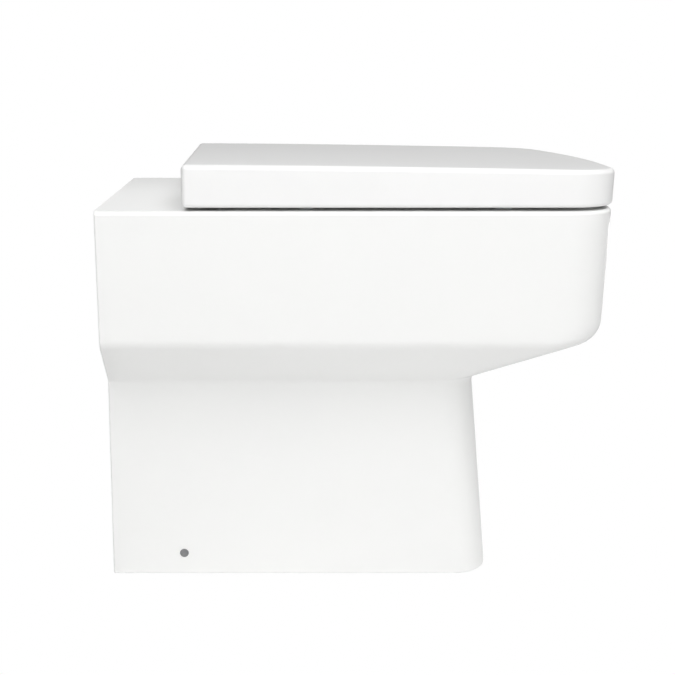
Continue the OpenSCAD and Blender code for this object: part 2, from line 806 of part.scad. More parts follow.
module lid_damper_shaft() {
    hinge_shaft(1, 1);
}

module seat_damper() {
    damper(-1, -1);
}

module seat_damper_shaft() {
    hinge_shaft(-1, -1);
}

module lid_bush() {
    bush(-1, 1);
}

module lid_pin() {
    hinge_shaft(-1, 1);
}

module seat_bush() {
    bush(1, -1);
}

module seat_pin() {
    hinge_shaft(1, -1);
}

// ---- seat fixings ---------------------------------------------------------

cone_tip_r = fixing_hole_r - 1;
cone_bite = cone_h * (cone_r - fixing_hole_r) / (cone_r - cone_tip_r);
cone_floor = hollow_top - cone_bite - run_gap;
washer_floor = cone_floor - washer_t;
nut_floor = washer_floor - nut_h;

module fixing_studs() {
    color([0.75, 0.76, 0.77]) for (side = [-1, 1]) {
        post(stud_r, pan_h + stud_grip - stud_l, pan_h + stud_grip, side * hinge_x, pillar_back);
    }
}

module cone_washers() {
    color([0.12, 0.12, 0.12]) for (side = [-1, 1]) {
        difference() {
            translate([side * hinge_x, from_wall(pillar_back), cone_floor])
                cylinder(r1 = cone_r, r2 = cone_tip_r, h = cone_h, $fn = cyl_fn);
            post(stud_r + rest_gap, cone_floor - cut, cone_floor + cone_h + cut, side * hinge_x,
                 pillar_back);
        }
    }
}

module steel_washers() {
    color([0.75, 0.76, 0.77]) for (side = [-1, 1]) {
        difference() {
            post(washer_r, washer_floor, cone_floor, side * hinge_x, pillar_back);
            post(stud_r + pass_gap, washer_floor - cut, cone_floor + cut, side * hinge_x,
                 pillar_back);
        }
    }
}

module wing_nuts() {
    // A wing's outline as [distance from the stud, height above the hub's foot].
    wing_t = 3;
    wing_drop = 7;
    wing = [[nut_r - 3, nut_h - 1], [nut_r - 3, 1], [nut_r + 4, 1 - wing_drop],
            [nut_r + 9, -wing_drop], [nut_r + 10, -2], [nut_r + 6, 4]];
    color([0.9, 0.9, 0.88]) for (side = [-1, 1]) {
        difference() {
            union() {
                post(nut_r, nut_floor, washer_floor, side * hinge_x, pillar_back);
                for (turn = [0, 180]) {
                    translate([side * hinge_x, from_wall(pillar_back), nut_floor])
                        rotate([90, 0, turn]) translate([0, 0, -wing_t / 2])
                        linear_extrude(wing_t) polygon(wing);
                }
            }
            post(stud_r + rest_gap, nut_floor - cut, washer_floor + cut, side * hinge_x,
                 pillar_back);
        }
    }
}

// ---- floor fixings --------------------------------------------------------

// Where the inside of the foot's wall stands at a height.
function inner_hw(z) =
    foot_w / 2 - china_t + (waist_w - foot_w) / 2 * (z + cut) / (waist_h + hollow_lift + cut);

bracket_face = inner_hw(bracket_h) - rest_gap;
bracket_back = side_fix_back - bracket_w / 2;
bracket_front = side_fix_back + bracket_w / 2;
floor_hole_x = bracket_face - bracket_reach * 0.6;

module floor_brackets() {
    rib = bracket_reach * 0.6;
    color([0.86, 0.86, 0.84]) for (side = [-1, 1]) {
        difference() {
            union() {
                block(side * (bracket_face - bracket_t), side * bracket_face, bracket_back,
                      bracket_front, 0, bracket_h);
                block(side * (bracket_face - bracket_reach), side * bracket_face, bracket_back,
                      bracket_front, 0, bracket_t);
                for (u = [bracket_back + bracket_t, bracket_front]) {
                    translate([side * (bracket_face - bracket_t / 2), from_wall(u), bracket_t / 2])
                        rotate([90, 0, 180]) mirror([side < 0 ? 1 : 0, 0, 0])
                        linear_extrude(bracket_t) polygon([[0, 0], [rib, 0], [0, rib]]);
                }
            }
            post(floor_hole_r, -cut, bracket_t + cut, side * floor_hole_x, side_fix_back);
            across(screw_r + press_gap, side * (bracket_face - bracket_t - cut),
                   side * (bracket_face + cut), side_fix_back, side_fix_h);
        }
    }
}

// Each screw ends a little way past its bracket, and its cap covers the head.
head_floor = screw_face - recess_depth;
screw_end = bracket_face - bracket_t - 3;

module side_screws() {
    color([0.75, 0.76, 0.77]) for (side = [-1, 1]) {
        across(screw_head_r, side * head_floor, side * (head_floor + screw_head_t),
               side_fix_back, side_fix_h);
        across(screw_r, side * screw_end, side * (head_floor + cut), side_fix_back, side_fix_h);
    }
}

module side_caps() {
    cap_out = 0.8;
    cap_edge = 0.5;
    color([0.5, 0.5, 0.5]) for (side = [-1, 1]) {
        across(cap_r, side * (head_floor + screw_head_t), side * (screw_face + cap_out - cap_edge),
               side_fix_back, side_fix_h);
        across(cap_r - cap_edge, side * screw_face, side * (screw_face + cap_out),
               side_fix_back, side_fix_h);
    }
}

// ---- inlet seal -----------------------------------------------------------

module inlet_seal() {
    color([0.1, 0.1, 0.1]) difference() {
        union() {
            along(inlet_r - run_gap, inlet_mouth - cut, inlet_mouth + seal_l, 0, inlet_z);
            along(seal_flange_r, inlet_mouth - seal_flange_t, inlet_mouth, 0, inlet_z);
        }
        along(seal_bore_r, inlet_mouth - seal_flange_t - cut, inlet_mouth + seal_l + cut, 0,
              inlet_z);
    }
}

pan();
bowl();
trap();
flush_inlet();
lid();
seat_ring();
seat_buffers();
lid_buffers();
hinge_pillar_left();
hinge_pillar_right();
lid_damper();
lid_damper_shaft();
seat_damper();
seat_damper_shaft();
lid_bush();
lid_pin();
seat_bush();
seat_pin();
fixing_studs();
cone_washers();
steel_washers();
wing_nuts();
floor_brackets();
side_screws();
side_caps();
inlet_seal();
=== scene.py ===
# %% [markdown]
# # Back to wall toilet
#
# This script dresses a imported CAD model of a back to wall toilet. The fixed frame gives
# every size and joint. The pieces that show, which are the china pan, the lid, the seat
# ring and the two side caps, are modelled here again with finer curves. The small
# fittings keep their CAD shapes and get materials.
#
# Lengths in the text are millimetres. Blender works in metres, in the same frame: +Z is
# up, the front faces -Y and the wall stands at +Y.

# %% Load the frame
import math
import bmesh
import bpy
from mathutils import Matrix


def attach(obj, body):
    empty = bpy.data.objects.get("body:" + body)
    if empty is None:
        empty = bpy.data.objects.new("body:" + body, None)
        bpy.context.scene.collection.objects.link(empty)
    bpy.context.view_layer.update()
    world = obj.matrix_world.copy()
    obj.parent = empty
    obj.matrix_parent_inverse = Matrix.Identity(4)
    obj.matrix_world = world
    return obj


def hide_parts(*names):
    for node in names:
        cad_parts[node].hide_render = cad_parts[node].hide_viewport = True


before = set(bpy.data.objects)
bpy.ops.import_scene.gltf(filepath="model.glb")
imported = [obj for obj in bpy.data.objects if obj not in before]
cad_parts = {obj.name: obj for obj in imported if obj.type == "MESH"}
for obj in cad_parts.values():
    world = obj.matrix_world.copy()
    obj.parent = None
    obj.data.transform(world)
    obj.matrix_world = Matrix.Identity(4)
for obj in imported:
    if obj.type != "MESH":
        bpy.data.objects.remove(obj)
bpy.context.view_layer.update()

# %% [markdown]
# ## Sizes
# The same numbers as the CAD model, so that the finer pieces fall on the coarse ones.
# Lengths along the object are counted forward from the wall.

# %% Sizes
MM = 0.001
PAST = 1.0                                  # how far a cutter runs past the face it opens
WALL = 257.25
PAN_L, PAN_H, DECK = 514.0, 400.0, 382.0    # DECK is the underside of the deck
FOOT_HW, WAIST_HW, EDGE_HW, RIM_HW = 124.5, 120.0, 173.5, 180.0
FOOT_L, WAIST_L, WAIST_Z, EDGE_Z = 413.5, 389.5, 216.0, 266.0
LID_BACK, LID_L, LID_HW, LID_FLOOR = 83.0, 514.5, 180.5, 403.0
AXIS_BACK, AXIS_Z, HINGE_X = 96.5, 429.0, 77.5
SEAT_FLOOR, SEAT_TOP = 408.0, 426.0
WEIR, SUMP = 225.0, 137.0
SIDE_FIX = (77.0, 24.0)                     # side screw: out from the wall and up
print("overall:", LID_L, "mm deep,", 2 * LID_HW, "mm wide,", PAN_H, "mm to the rim")


def at(x, out, z):
    """The point x across, out from the wall and z up, given in mm."""
    return (x * MM, (WALL - out) * MM, z * MM)


# %% [markdown]
# ## Tools for drawing
# Most forms here are stacks of outlines. An outline is drawn as a potter's template
# would be: one point is swung about a centre to make an arc, and pulled along to make a
# straight. Two outlines with the same number of points are then bridged into a wall.
# Only the half at +X is drawn, and a mirror gives the other half, so that the piece
# comes out exactly symmetric.

# %% Tools for drawing
def new_piece(name):
    """An empty mesh object at the origin, left in edit mode."""
    if bpy.context.object and bpy.context.object.mode == "EDIT":
        bpy.ops.object.mode_set(mode="OBJECT")
    bpy.ops.object.select_all(action="DESELECT")
    bpy.ops.mesh.primitive_plane_add(size=MM)
    piece = bpy.context.object
    piece.name = piece.data.name = name
    bpy.ops.object.mode_set(mode="EDIT")
    bpy.ops.mesh.delete(type="VERT")
    return piece


def pick(test):
    """Selects the points whose x, distance from the wall and height pass a test."""
    mesh = bpy.context.object.data
    edit = bmesh.from_edit_mesh(mesh)
    bpy.ops.mesh.select_all(action="DESELECT")
    for v in edit.verts:
        v.select = test(v.co.x / MM, WALL - v.co.y / MM, v.co.z / MM)
    edit.select_flush(True)
    bmesh.update_edit_mesh(mesh)


def near(a, b):
    """Whether two lengths in mm are the same but for rounding."""
    return abs(a - b) < 0.01


def swing(steps, angle, centre):
    """Sweeps the selected point about an upright axis, anticlockwise from above."""
    bpy.ops.mesh.spin(steps=steps, angle=-angle, center=centre, axis=(0, 0, 1))


def pull(x, back):
    """Extends the outline from the selected point, across by x and back by back."""
    bpy.ops.mesh.extrude_region_move(
        TRANSFORM_OT_translate={"value": (x * MM, back * MM, 0)})


def half_outline(hw, back, front, corner, bow, rear, z, sides=1):
    """Half of a squared outline with a bowed front, from its front to its back."""
    middle = front - bow + math.sqrt((bow - corner) ** 2 - (hw - corner) ** 2)
    lean = math.asin((hw - corner) / (bow - corner))
    bpy.ops.mesh.select_all(action="DESELECT")
    bpy.ops.mesh.primitive_plane_add(size=MM, location=at(0, front, z))
    bpy.ops.mesh.merge(type="CENTER")
    swing(6, lean, at(0, front - bow, z))
    swing(12, math.pi / 2 - lean, at(hw - corner, middle, z))
    for step in range(sides):
        pull(0, (middle - back - rear) / sides)
    swing(3, math.pi / 2, at(hw - rear, back + rear, z))
    pull(-(hw - rear), 0)


def bridge(heights):
    """Bridges the outlines at a list of heights, one pair after another."""
    for low, high in zip(heights, heights[1:]):
        pick(lambda x, out, z: near(z, low) or near(z, high))
        bpy.ops.mesh.bridge_edge_loops()


def modify(piece, kind, **settings):
    """Adds a modifier, sets it and applies it."""
    if bpy.context.object.mode == "EDIT":
        bpy.ops.object.mode_set(mode="OBJECT")
    bpy.ops.object.select_all(action="DESELECT")
    piece.select_set(True)
    bpy.context.view_layer.objects.active = piece
    modifier = piece.modifiers.new(kind.title(), kind)
    for key, value in settings.items():
        setattr(modifier, key, value)
    bpy.ops.object.modifier_apply(modifier=modifier.name)


def mirrored(piece):
    """Gives a half its other half, and leaves the piece in edit mode."""
    modify(piece, "MIRROR", use_axis=(True, False, False), merge_threshold=0.02 * MM)
    bpy.ops.object.mode_set(mode="EDIT")


def cap(height):
    """Closes the outline at a height with one flat face."""
    pick(lambda x, out, z: near(z, height))
    bpy.ops.mesh.edge_face_add()


def tidy(piece):
    """Merges doubles, turns every face outwards and leaves edit mode."""
    bpy.ops.mesh.select_all(action="SELECT")
    bpy.ops.mesh.remove_doubles(threshold=0.005 * MM)
    bpy.ops.mesh.normals_make_consistent(inside=False)
    bpy.ops.object.mode_set(mode="OBJECT")


def combine(piece, other, operation):
    """Joins, cuts or intersects a piece with another, which is used up."""
    modify(piece, "BOOLEAN", object=other, operation=operation, solver="EXACT",
           material_mode="TRANSFER")
    bpy.data.objects.remove(other)


def report(piece):
    """Prints what a piece came to."""
    size = [round(v / MM, 1) for v in piece.dimensions]
    print(f"{piece.name}: {len(piece.data.polygons)} faces, {size} mm")


# %% [markdown]
# Cylinders, cones and blocks are made at their size and place, ready to be joined to a
# larger form or cut from it.

# %% Simple solids
def finish_solid(name):
    """Names the new solid and lays its place into its mesh."""
    solid = bpy.context.object
    solid.name = name
    bpy.ops.object.transform_apply(location=True, rotation=True, scale=True)
    return solid


def cylinder(name, r, start, end, sides=64):
    """A cylinder between two points that lie on a line along X, Y or Z."""
    bpy.ops.object.select_all(action="DESELECT")
    span = [b - a for a, b in zip(start, end)]
    length = math.sqrt(sum(v * v for v in span))
    turn = (0, math.pi / 2, 0) if abs(span[0]) > 1e-6 else (
        (math.pi / 2, 0, 0) if abs(span[1]) > 1e-6 else (0, 0, 0))
    middle = [(a + b) / 2 for a, b in zip(start, end)]
    bpy.ops.mesh.primitive_cylinder_add(vertices=sides, radius=r * MM, depth=length,
                                        location=middle, rotation=turn)
    return finish_solid(name)


def block(name, x0, x1, back, front, z0, z1):
    """A block between two values across, two out from the wall and two up."""
    bpy.ops.object.select_all(action="DESELECT")
    bpy.ops.mesh.primitive_cube_add(size=1, location=at((x0 + x1) / 2, (back + front) / 2,
                                                        (z0 + z1) / 2))
    bpy.context.object.scale = (abs(x1 - x0) * MM, (front - back) * MM, (z1 - z0) * MM)
    return finish_solid(name)


# %% [markdown]
# ## Profiles
# A pan is cast in a plaster mould, so no edge on it is sharp: clay shrinks and glaze
# pools. Each profile below is a line of corners with a radius at every one. The function
# lays points along its arcs, and the outlines are then drawn at those heights.

# %% Profiles
def rounded(corners, steps=6):
    """Points [height, distance] along a line whose corners are [height, distance, r]."""
    points = [tuple(corners[0][:2])]
    for before, here, after in zip(corners, corners[1:], corners[2:]):
        r = here[2]
        a = math.atan2(before[1] - here[1], before[0] - here[0])
        b = math.atan2(after[1] - here[1], after[0] - here[0])
        half = ((b - a + math.pi) % (2 * math.pi) - math.pi) / 2
        reach = r / abs(math.sin(half))
        centre = (here[0] + reach * math.cos(a + half), here[1] + reach * math.sin(a + half))
        sweep = math.copysign(math.pi - 2 * abs(half), -half)
        for i in range(steps + 1):
            facing = a + half + math.pi + sweep * (i / steps - 0.5)
            points.append((centre[0] + r * math.cos(facing), centre[1] + r * math.sin(facing)))
    points.append(corners[-1][:2])
    return points


def level(points, z):
    """The distance that a profile gives at a height."""
    for (z0, d0), (z1, d1) in zip(points, points[1:]):
        if z0 <= z <= z1:
            return d0 + (d1 - d0) * (z - z0) / (z1 - z0) if z1 > z0 else d0
    return points[-1][1]


QUARTER = [math.radians(15 * i) for i in range(7)]      # the steps of a rounded edge

# %% [markdown]
# ## Pan
# The outside is one skin from the floor to the rim: a pedestal that leans in a little, a
# small hollow fillet at the waist, a band that slopes out to the upper body, a soft lower
# edge, and sides with a few degrees of draft so that the mould lets go of them. The front
# is a shallow bow between two upright rounded corners.

# %% Pan outside
BELLY = math.tan(math.radians(23.5))
LIP_Z = WAIST_Z + (PAN_L - WAIST_L) * BELLY
WAIST_R, EDGE_R, FRONT_WAIST_R, LIP_R = 5.0, 16.0, 10.0, 25.0
SIDE = rounded([(0, FOOT_HW), (WAIST_Z, WAIST_HW, WAIST_R), (EDGE_Z, EDGE_HW, EDGE_R),
                (PAN_H, RIM_HW)])
FRONT = rounded([(0, FOOT_L), (WAIST_Z, WAIST_L, FRONT_WAIST_R),
                 (LIP_Z, PAN_L, LIP_R), (PAN_H, PAN_L)])
PEDESTAL_R, BODY_R = 40, 52
CORNER = [(0, PEDESTAL_R), (WAIST_Z, PEDESTAL_R), (EDGE_Z, BODY_R), (PAN_H, BODY_R)]
BOW, WALL_EDGE_R = 850.0, 2
print("side and front profiles:", len(SIDE), "and", len(FRONT), "points")


def spaced(heights, gap=0.2):
    """Heights in order, without any that nearly repeats another."""
    kept = []
    for z in sorted(heights):
        if not kept or z - kept[-1] > gap:
            kept.append(z)
    return kept


def pan_outline(z, inset, back, height):
    """Half of the pan's outline at z, drawn in by inset, from back and at a height."""
    half_outline(level(SIDE, z) - inset, back, level(FRONT, z) - inset,
                 level(CORNER, z) - inset, BOW - inset, WALL_EDGE_R, height)


FOOT_R, RIM_R = 1.5, 4.5
main = spaced([z for z, d in SIDE + FRONT if FOOT_R < z < PAN_H - RIM_R - 1])
foot = [(FOOT_R * (1 - math.sin(a)), FOOT_R * (1 - math.cos(a)))
        for a in [math.radians(30 * i) for i in range(4)]]
rim = [(RIM_R * (1 - math.cos(a)), PAN_H - RIM_R * (1 - math.sin(a))) for a in QUARTER]

pan = new_piece("pan_china")
for inset, z in foot:
    pan_outline(0, inset, 0, z)
for z in main:
    pan_outline(z, 0, 0, z)
for inset, z in rim:
    pan_outline(PAN_H, inset, 0, z)
bridge([z for inset, z in foot] + main + [z for inset, z in rim])
mirrored(pan)
cap(0)
cap(PAN_H)
tidy(pan)
report(pan)

# %% [markdown]
# A slip-cast pan is hollow. The inside follows the outside at 11 mm, open at the floor
# and at the wall, and its band lies a little higher so that the sloping wall keeps its
# thickness.

# %% Hollow
CHINA_T, LIFT = 11.0, 6.0
hollow = new_piece("hollow")
inner = [z for z in main if z + LIFT < DECK - 5]
pan_outline(0, CHINA_T, -PAST, -PAST)
for z in inner:
    pan_outline(z, CHINA_T, -PAST, z + LIFT)
pan_outline(PAN_H, CHINA_T, -PAST, DECK)
bridge([-PAST] + [z + LIFT for z in inner] + [DECK])
mirrored(hollow)
cap(-PAST)
cap(DECK)
tidy(hollow)
report(hollow)

# %% [markdown]
# The bowl is a stack of squared ovals. Each row of the table is a height, the back and
# the front of the oval, its half width and how square it is, from the sump up to the
# mouth. Cutting the corners of the table twice, as a turner does with a blank, gives the
# smooth rows that are drawn.

# %% Bowl
BOWL_T = 9.0
BOWL = [(99, 283.7, 305.7, 14, 2), (105, 269.7, 321.7, 28, 2), (125, 261.7, 339.7, 38, 2),
        (153, 265.7, 351.7, 43, 2.1), (175, 297.7, 358.7, 48, 2.1), (190, 293.7, 364, 53, 2.1),
        (225, 284.7, 381.7, 67, 2.2), (260, 269.7, 409, 88, 2.4), (280, 255.7, 427, 98, 2.5),
        (300, 231.7, 441, 107, 2.6), (322, 190, 455, 116, 2.8), (336, 164, 464, 121, 3),
        (350, 154, 470, 125, 3.2), (370, 150, 473, 128, 3.3)]
MOUTH_R = 5.0


def cut_corners(rows):
    """Each corner of a table of rows is cut off at a quarter of the way to the next."""
    cut = [rows[0]]
    for a, b in zip(rows, rows[1:]):
        for t in (0.25, 0.75):
            cut.append(tuple(p + (q - p) * t for p, q in zip(a, b)))
    return cut + [rows[-1]]


def oval(row, grow=0.0, points=72):
    """Draws a row as a circle whose points are then pushed out to the squared oval."""
    z, back, front, hw, power = row
    hw, length, middle = hw + grow, (front - back) / 2 + grow, (front + back) / 2
    bpy.ops.mesh.select_all(action="DESELECT")
    bpy.ops.mesh.primitive_circle_add(vertices=points, radius=MM, location=at(0, middle, z))
    mesh = bpy.context.object.data
    edit = bmesh.from_edit_mesh(mesh)
    for v in edit.verts:
        if v.select:
            x, y = v.co.x / MM, v.co.y / MM - (WALL - middle)
            reach = (abs(x / hw) ** power + abs(y / length) ** power) ** (-1 / power)
            v.co.x, v.co.y = x * reach * MM, (WALL - middle + y * reach) * MM
    bmesh.update_edit_mesh(mesh)


def oval_stack(name, rows, grows=None):
    """A closed solid through a table of ovals."""
    solid = new_piece(name)
    grows = grows or [0.0] * len(rows)
    for row, grow in zip(rows, grows):
        oval(row, grow)
    bridge([row[0] for row in rows])
    cap(rows[0][0])
    cap(rows[-1][0])
    tidy(solid)
    return solid


smooth = cut_corners(cut_corners(BOWL))
mouth = BOWL[-1]
flare = [(PAN_H - MOUTH_R * (1 - math.sin(a)), MOUTH_R * (1 - math.cos(a)))
         for a in QUARTER] + [(PAN_H + PAST, MOUTH_R)]
bowl_inside = oval_stack("bowl_inside", smooth + [(z,) + mouth[1:] for z, grow in flare],
                         [0.0] * len(smooth) + [grow for z, grow in flare])
shell = [(BOWL[0][0] - BOWL_T,) + BOWL[0][1:]] + [
    (row[0] - BOWL_T / 2,) + row[1:] for row in cut_corners(BOWL)[1:-1]] + [
    mouth, (DECK + 8,) + mouth[1:]]
bowl_outside = oval_stack("bowl_outside", shell, [BOWL_T] * len(shell))
report(bowl_inside)
report(bowl_outside)

# %% [markdown]
# The trap is a pipe that is bent as a plumber would bend it. A circle is pulled straight
# in from the outlet, swung up round one centre, over the weir round another, and pulled
# down to the sump.

# %% Trap
TRAP_R, BEND_R, CROWN_R, LEG = 38.0, 58.0, 50.0, math.radians(75)
OUTLET_END, BEND, OUTLET_Z = 42.0, 80.0, 180.0
RISE = math.acos(1 - (WEIR + TRAP_R - OUTLET_Z) / (BEND_R + CROWN_R))
CROWN = (BEND + (BEND_R + CROWN_R) * math.sin(RISE), WEIR + TRAP_R - CROWN_R)
LEG_L = (CROWN[1] + CROWN_R * math.cos(LEG) - SUMP) / math.sin(LEG)


def trap_pipe(name, r, lead, tail):
    """The trap's route as a rod of radius r, longer by lead and tail at its ends."""
    pipe = new_piece(name)
    bpy.ops.mesh.primitive_circle_add(vertices=40, radius=r * MM, rotation=(math.pi / 2, 0, 0),
                                      location=at(0, BEND - lead, OUTLET_Z))
    bpy.ops.mesh.extrude_region_move(TRANSFORM_OT_translate={"value": (0, -lead * MM, 0)})
    bpy.ops.mesh.spin(steps=8, angle=RISE, axis=(1, 0, 0), center=at(0, BEND, OUTLET_Z + BEND_R))
    bpy.ops.mesh.spin(steps=16, angle=-(RISE + LEG), axis=(1, 0, 0), center=at(0, *CROWN))
    run = (LEG_L + tail) * MM
    bpy.ops.mesh.extrude_region_move(TRANSFORM_OT_translate={
        "value": (0, -run * math.cos(LEG), -run * math.sin(LEG))})
    bpy.ops.mesh.select_all(action="SELECT")
    bpy.ops.mesh.fill_holes(sides=0)
    tidy(pipe)
    return pipe


trap_outside = trap_pipe("trap_outside", TRAP_R + BOWL_T, 2, BOWL_T)
trap_inside = trap_pipe("trap_inside", TRAP_R, 1, 0)
report(trap_outside)

# %% [markdown]
# ## Materials
# Two effects are shared by many finishes, so each is a node group. One gives a faint,
# cloudy variation, and the other a wavy surface, like the orange peel of a glaze or of a
# moulded plastic. Both read object coordinates, so their scale is a real one.

# %% Shared effects
def socket_group(name, outputs, inputs=()):
    """A node group with its sockets, and its input and output nodes."""
    group = bpy.data.node_groups.new(name, "ShaderNodeTree")
    for label, kind, default in inputs:
        socket = group.interface.new_socket(label, in_out="INPUT", socket_type=kind)
        socket.default_value = default
    for label, kind in outputs:
        group.interface.new_socket(label, in_out="OUTPUT", socket_type=kind)
    return group, group.nodes.new("NodeGroupInput"), group.nodes.new("NodeGroupOutput")


def noise(tree, scale, detail=3.0, roughness=0.5):
    """A noise on object coordinates, whose scale is a socket or a number."""
    coordinates = tree.nodes.new("ShaderNodeTexCoord")
    texture = tree.nodes.new("ShaderNodeTexNoise")
    texture.inputs["Detail"].default_value = detail
    texture.inputs["Roughness"].default_value = roughness
    tree.links.new(coordinates.outputs["Object"], texture.inputs["Vector"])
    if hasattr(scale, "links"):
        tree.links.new(scale, texture.inputs["Scale"])
    else:
        texture.inputs["Scale"].default_value = scale
    return texture


def spread(tree, value, low, high):
    """Maps a noise's middle range, where most of its values lie, onto low to high."""
    node = tree.nodes.new("ShaderNodeMapRange")
    node.inputs["From Min"].default_value = 0.3
    node.inputs["From Max"].default_value = 0.7
    node.inputs["To Min"].default_value = low
    node.inputs["To Max"].default_value = high
    tree.links.new(value, node.inputs["Value"])
    return node.outputs["Result"]


clouds, given, result = socket_group(
    "clouds", [("Mask", "NodeSocketFloat")], [("Scale", "NodeSocketFloat", 12.0)])
clouds.links.new(spread(clouds, noise(clouds, given.outputs["Scale"]).outputs["Fac"], 0, 1),
                 result.inputs["Mask"])

waves, given, result = socket_group(
    "waves", [("Normal", "NodeSocketVector")],
    [("Scale", "NodeSocketFloat", 60.0), ("Depth", "NodeSocketFloat", 0.1)])
bump = waves.nodes.new("ShaderNodeBump")
bump.inputs["Distance"].default_value = 0.3 * MM
waves.links.new(noise(waves, given.outputs["Scale"], 1.5).outputs["Fac"], bump.inputs["Height"])
waves.links.new(given.outputs["Depth"], bump.inputs["Strength"])
waves.links.new(bump.outputs["Normal"], result.inputs["Normal"])


# %% [markdown]
# Every finish is a Principled shader. Its colour drifts between two close tones and its
# roughness between two values by the clouds, and its normal comes from the waves.

# %% Finishes
def finish(name, light, dark, rough, scale=12.0, wave=60.0, depth=0.1, **sockets):
    """A material; sockets are further constants, with _ for each space in their names."""
    material = bpy.data.materials.new(name)
    material.use_nodes = True
    tree = material.node_tree
    shader = tree.nodes["Principled BSDF"]
    cloudy = tree.nodes.new("ShaderNodeGroup")
    cloudy.node_tree = clouds
    cloudy.inputs["Scale"].default_value = scale
    mix = tree.nodes.new("ShaderNodeMix")
    mix.data_type = "RGBA"
    mix.inputs["A"].default_value = (*dark, 1)
    mix.inputs["B"].default_value = (*light, 1)
    tree.links.new(cloudy.outputs["Mask"], mix.inputs["Factor"])
    tree.links.new(mix.outputs["Result"], shader.inputs["Base Color"])
    span = tree.nodes.new("ShaderNodeMapRange")
    span.inputs["To Min"].default_value = rough[0]
    span.inputs["To Max"].default_value = rough[1]
    tree.links.new(cloudy.outputs["Mask"], span.inputs["Value"])
    tree.links.new(span.outputs["Result"], shader.inputs["Roughness"])
    wavy = tree.nodes.new("ShaderNodeGroup")
    wavy.node_tree = waves
    wavy.inputs["Scale"].default_value = wave
    wavy.inputs["Depth"].default_value = depth
    tree.links.new(wavy.outputs["Normal"], shader.inputs["Normal"])
    for key, value in sockets.items():
        shader.inputs[key.replace("_", " ")].default_value = value
    return material


glaze = finish("white_glaze", (0.93, 0.932, 0.92), (0.918, 0.92, 0.91), (0.48, 0.54),
               scale=6, wave=28, depth=0.08, Coat_Weight=0.45, Coat_Roughness=0.03)
bare = finish("bare_china", (0.80, 0.78, 0.74), (0.72, 0.70, 0.66), (0.75, 0.9),
              scale=30, wave=400, depth=0.5)
thermoset = finish("white_thermoset", (0.91, 0.91, 0.905), (0.90, 0.90, 0.895), (0.36, 0.42),
                   scale=8, wave=40, depth=0.03, Coat_Weight=0.3, Coat_Roughness=0.05)

# %% [markdown]
# ## Putting the pan together
# The hollow is taken out of the skin. The bowl, the trap with its outlet and the flush
# inlet are joined on, and their waterways are cut last, so that each one runs clear
# through everything. The glaze lies on the outside and in the waterways. The hidden
# outside of the bowl and the trap is bare china, as on a real pan.

# %% Put the pan together
for solid in (hollow, bowl_outside, trap_outside):
    solid.data.materials.append(bare)
for solid in (pan, bowl_inside, trap_inside):
    solid.data.materials.append(glaze)


def dressed(solid, material):
    """Gives a solid one material, in place of any that its joins left."""
    solid.data.materials.clear()
    solid.data.materials.append(material)
    return solid


SPIGOT_R, OUTLET_R = 51, 41
INLET_Z, INLET_MOUTH = 344.0, 26.0
HORN_R, HORN_END, WEB_HW = 36, 170, 21.6        # the inlet's outside, and the web over it
SOCKET_R, SOCKET_END = 27.5, 71
THROAT_R, THROAT_END = 16, 184
PILLAR_BACK, FIXING_R = 120.5, 7.5
combine(pan, hollow, "DIFFERENCE")
combine(pan, bowl_outside, "UNION")
combine(pan, trap_outside, "UNION")
combine(pan, dressed(cylinder("spigot", SPIGOT_R, at(0, OUTLET_END, OUTLET_Z),
                              at(0, BEND + 0.1, OUTLET_Z)), glaze), "UNION")
combine(pan, dressed(cylinder("horn", HORN_R, at(0, INLET_MOUTH, INLET_Z),
                              at(0, HORN_END, INLET_Z)), bare), "UNION")
combine(pan, dressed(block("web", -WEB_HW, WEB_HW, INLET_MOUTH + 5, HORN_END - 5, INLET_Z,
                           DECK + 5), bare), "UNION")
combine(pan, bowl_inside, "DIFFERENCE")
combine(pan, trap_inside, "DIFFERENCE")
for name, r, back, front, z in [
        ("outlet_bore", OUTLET_R, OUTLET_END - PAST, BEND, OUTLET_Z),
        ("socket", SOCKET_R, INLET_MOUTH - PAST, SOCKET_END, INLET_Z),
        ("throat", THROAT_R, INLET_MOUTH, THROAT_END, INLET_Z)]:
    combine(pan, dressed(cylinder(name, r, at(0, back, z), at(0, front, z)), glaze),
            "DIFFERENCE")
for side in (-1, 1):
    combine(pan, dressed(cylinder("fixing_hole", FIXING_R,
                                  at(side * HINGE_X, PILLAR_BACK, DECK - PAST),
                                  at(side * HINGE_X, PILLAR_BACK, PAN_H + PAST)), glaze),
            "DIFFERENCE")
    for name, r, x0, x1, sides, material in [("screw_hole", 2.8, 102, 124, 24, bare),
                                             ("cap_recess", 4.8, 119, 125, 64, glaze)]:
        combine(pan, dressed(cylinder(name, r, at(side * x0, *SIDE_FIX),
                                      at(side * x1, *SIDE_FIX), sides), material),
                "DIFFERENCE")
report(pan)

# %% [markdown]
# Smooth shading is kept for every edge under 30 degrees, and the normals are weighted by
# area, so that the broad flat faces stay flat and only their rounded edges bend the
# light.

# %% Shade the pan
def shade(piece, angle=30):
    """Smooths a piece, but for edges that turn by more than an angle in degrees."""
    bpy.ops.object.select_all(action="DESELECT")
    piece.select_set(True)
    bpy.context.view_layer.objects.active = piece
    bpy.ops.object.mode_set(mode="EDIT")
    bpy.ops.mesh.select_all(action="SELECT")
    bpy.ops.mesh.remove_doubles(threshold=0.002 * MM)
    bpy.ops.object.mode_set(mode="OBJECT")
    bpy.ops.object.shade_smooth_by_angle(angle=math.radians(angle))
    modify(piece, "WEIGHTED_NORMAL", keep_sharp=True, weight=100)


shade(pan)
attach(pan, "pan")
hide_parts("pan", "bowl", "trap", "flush_inlet")

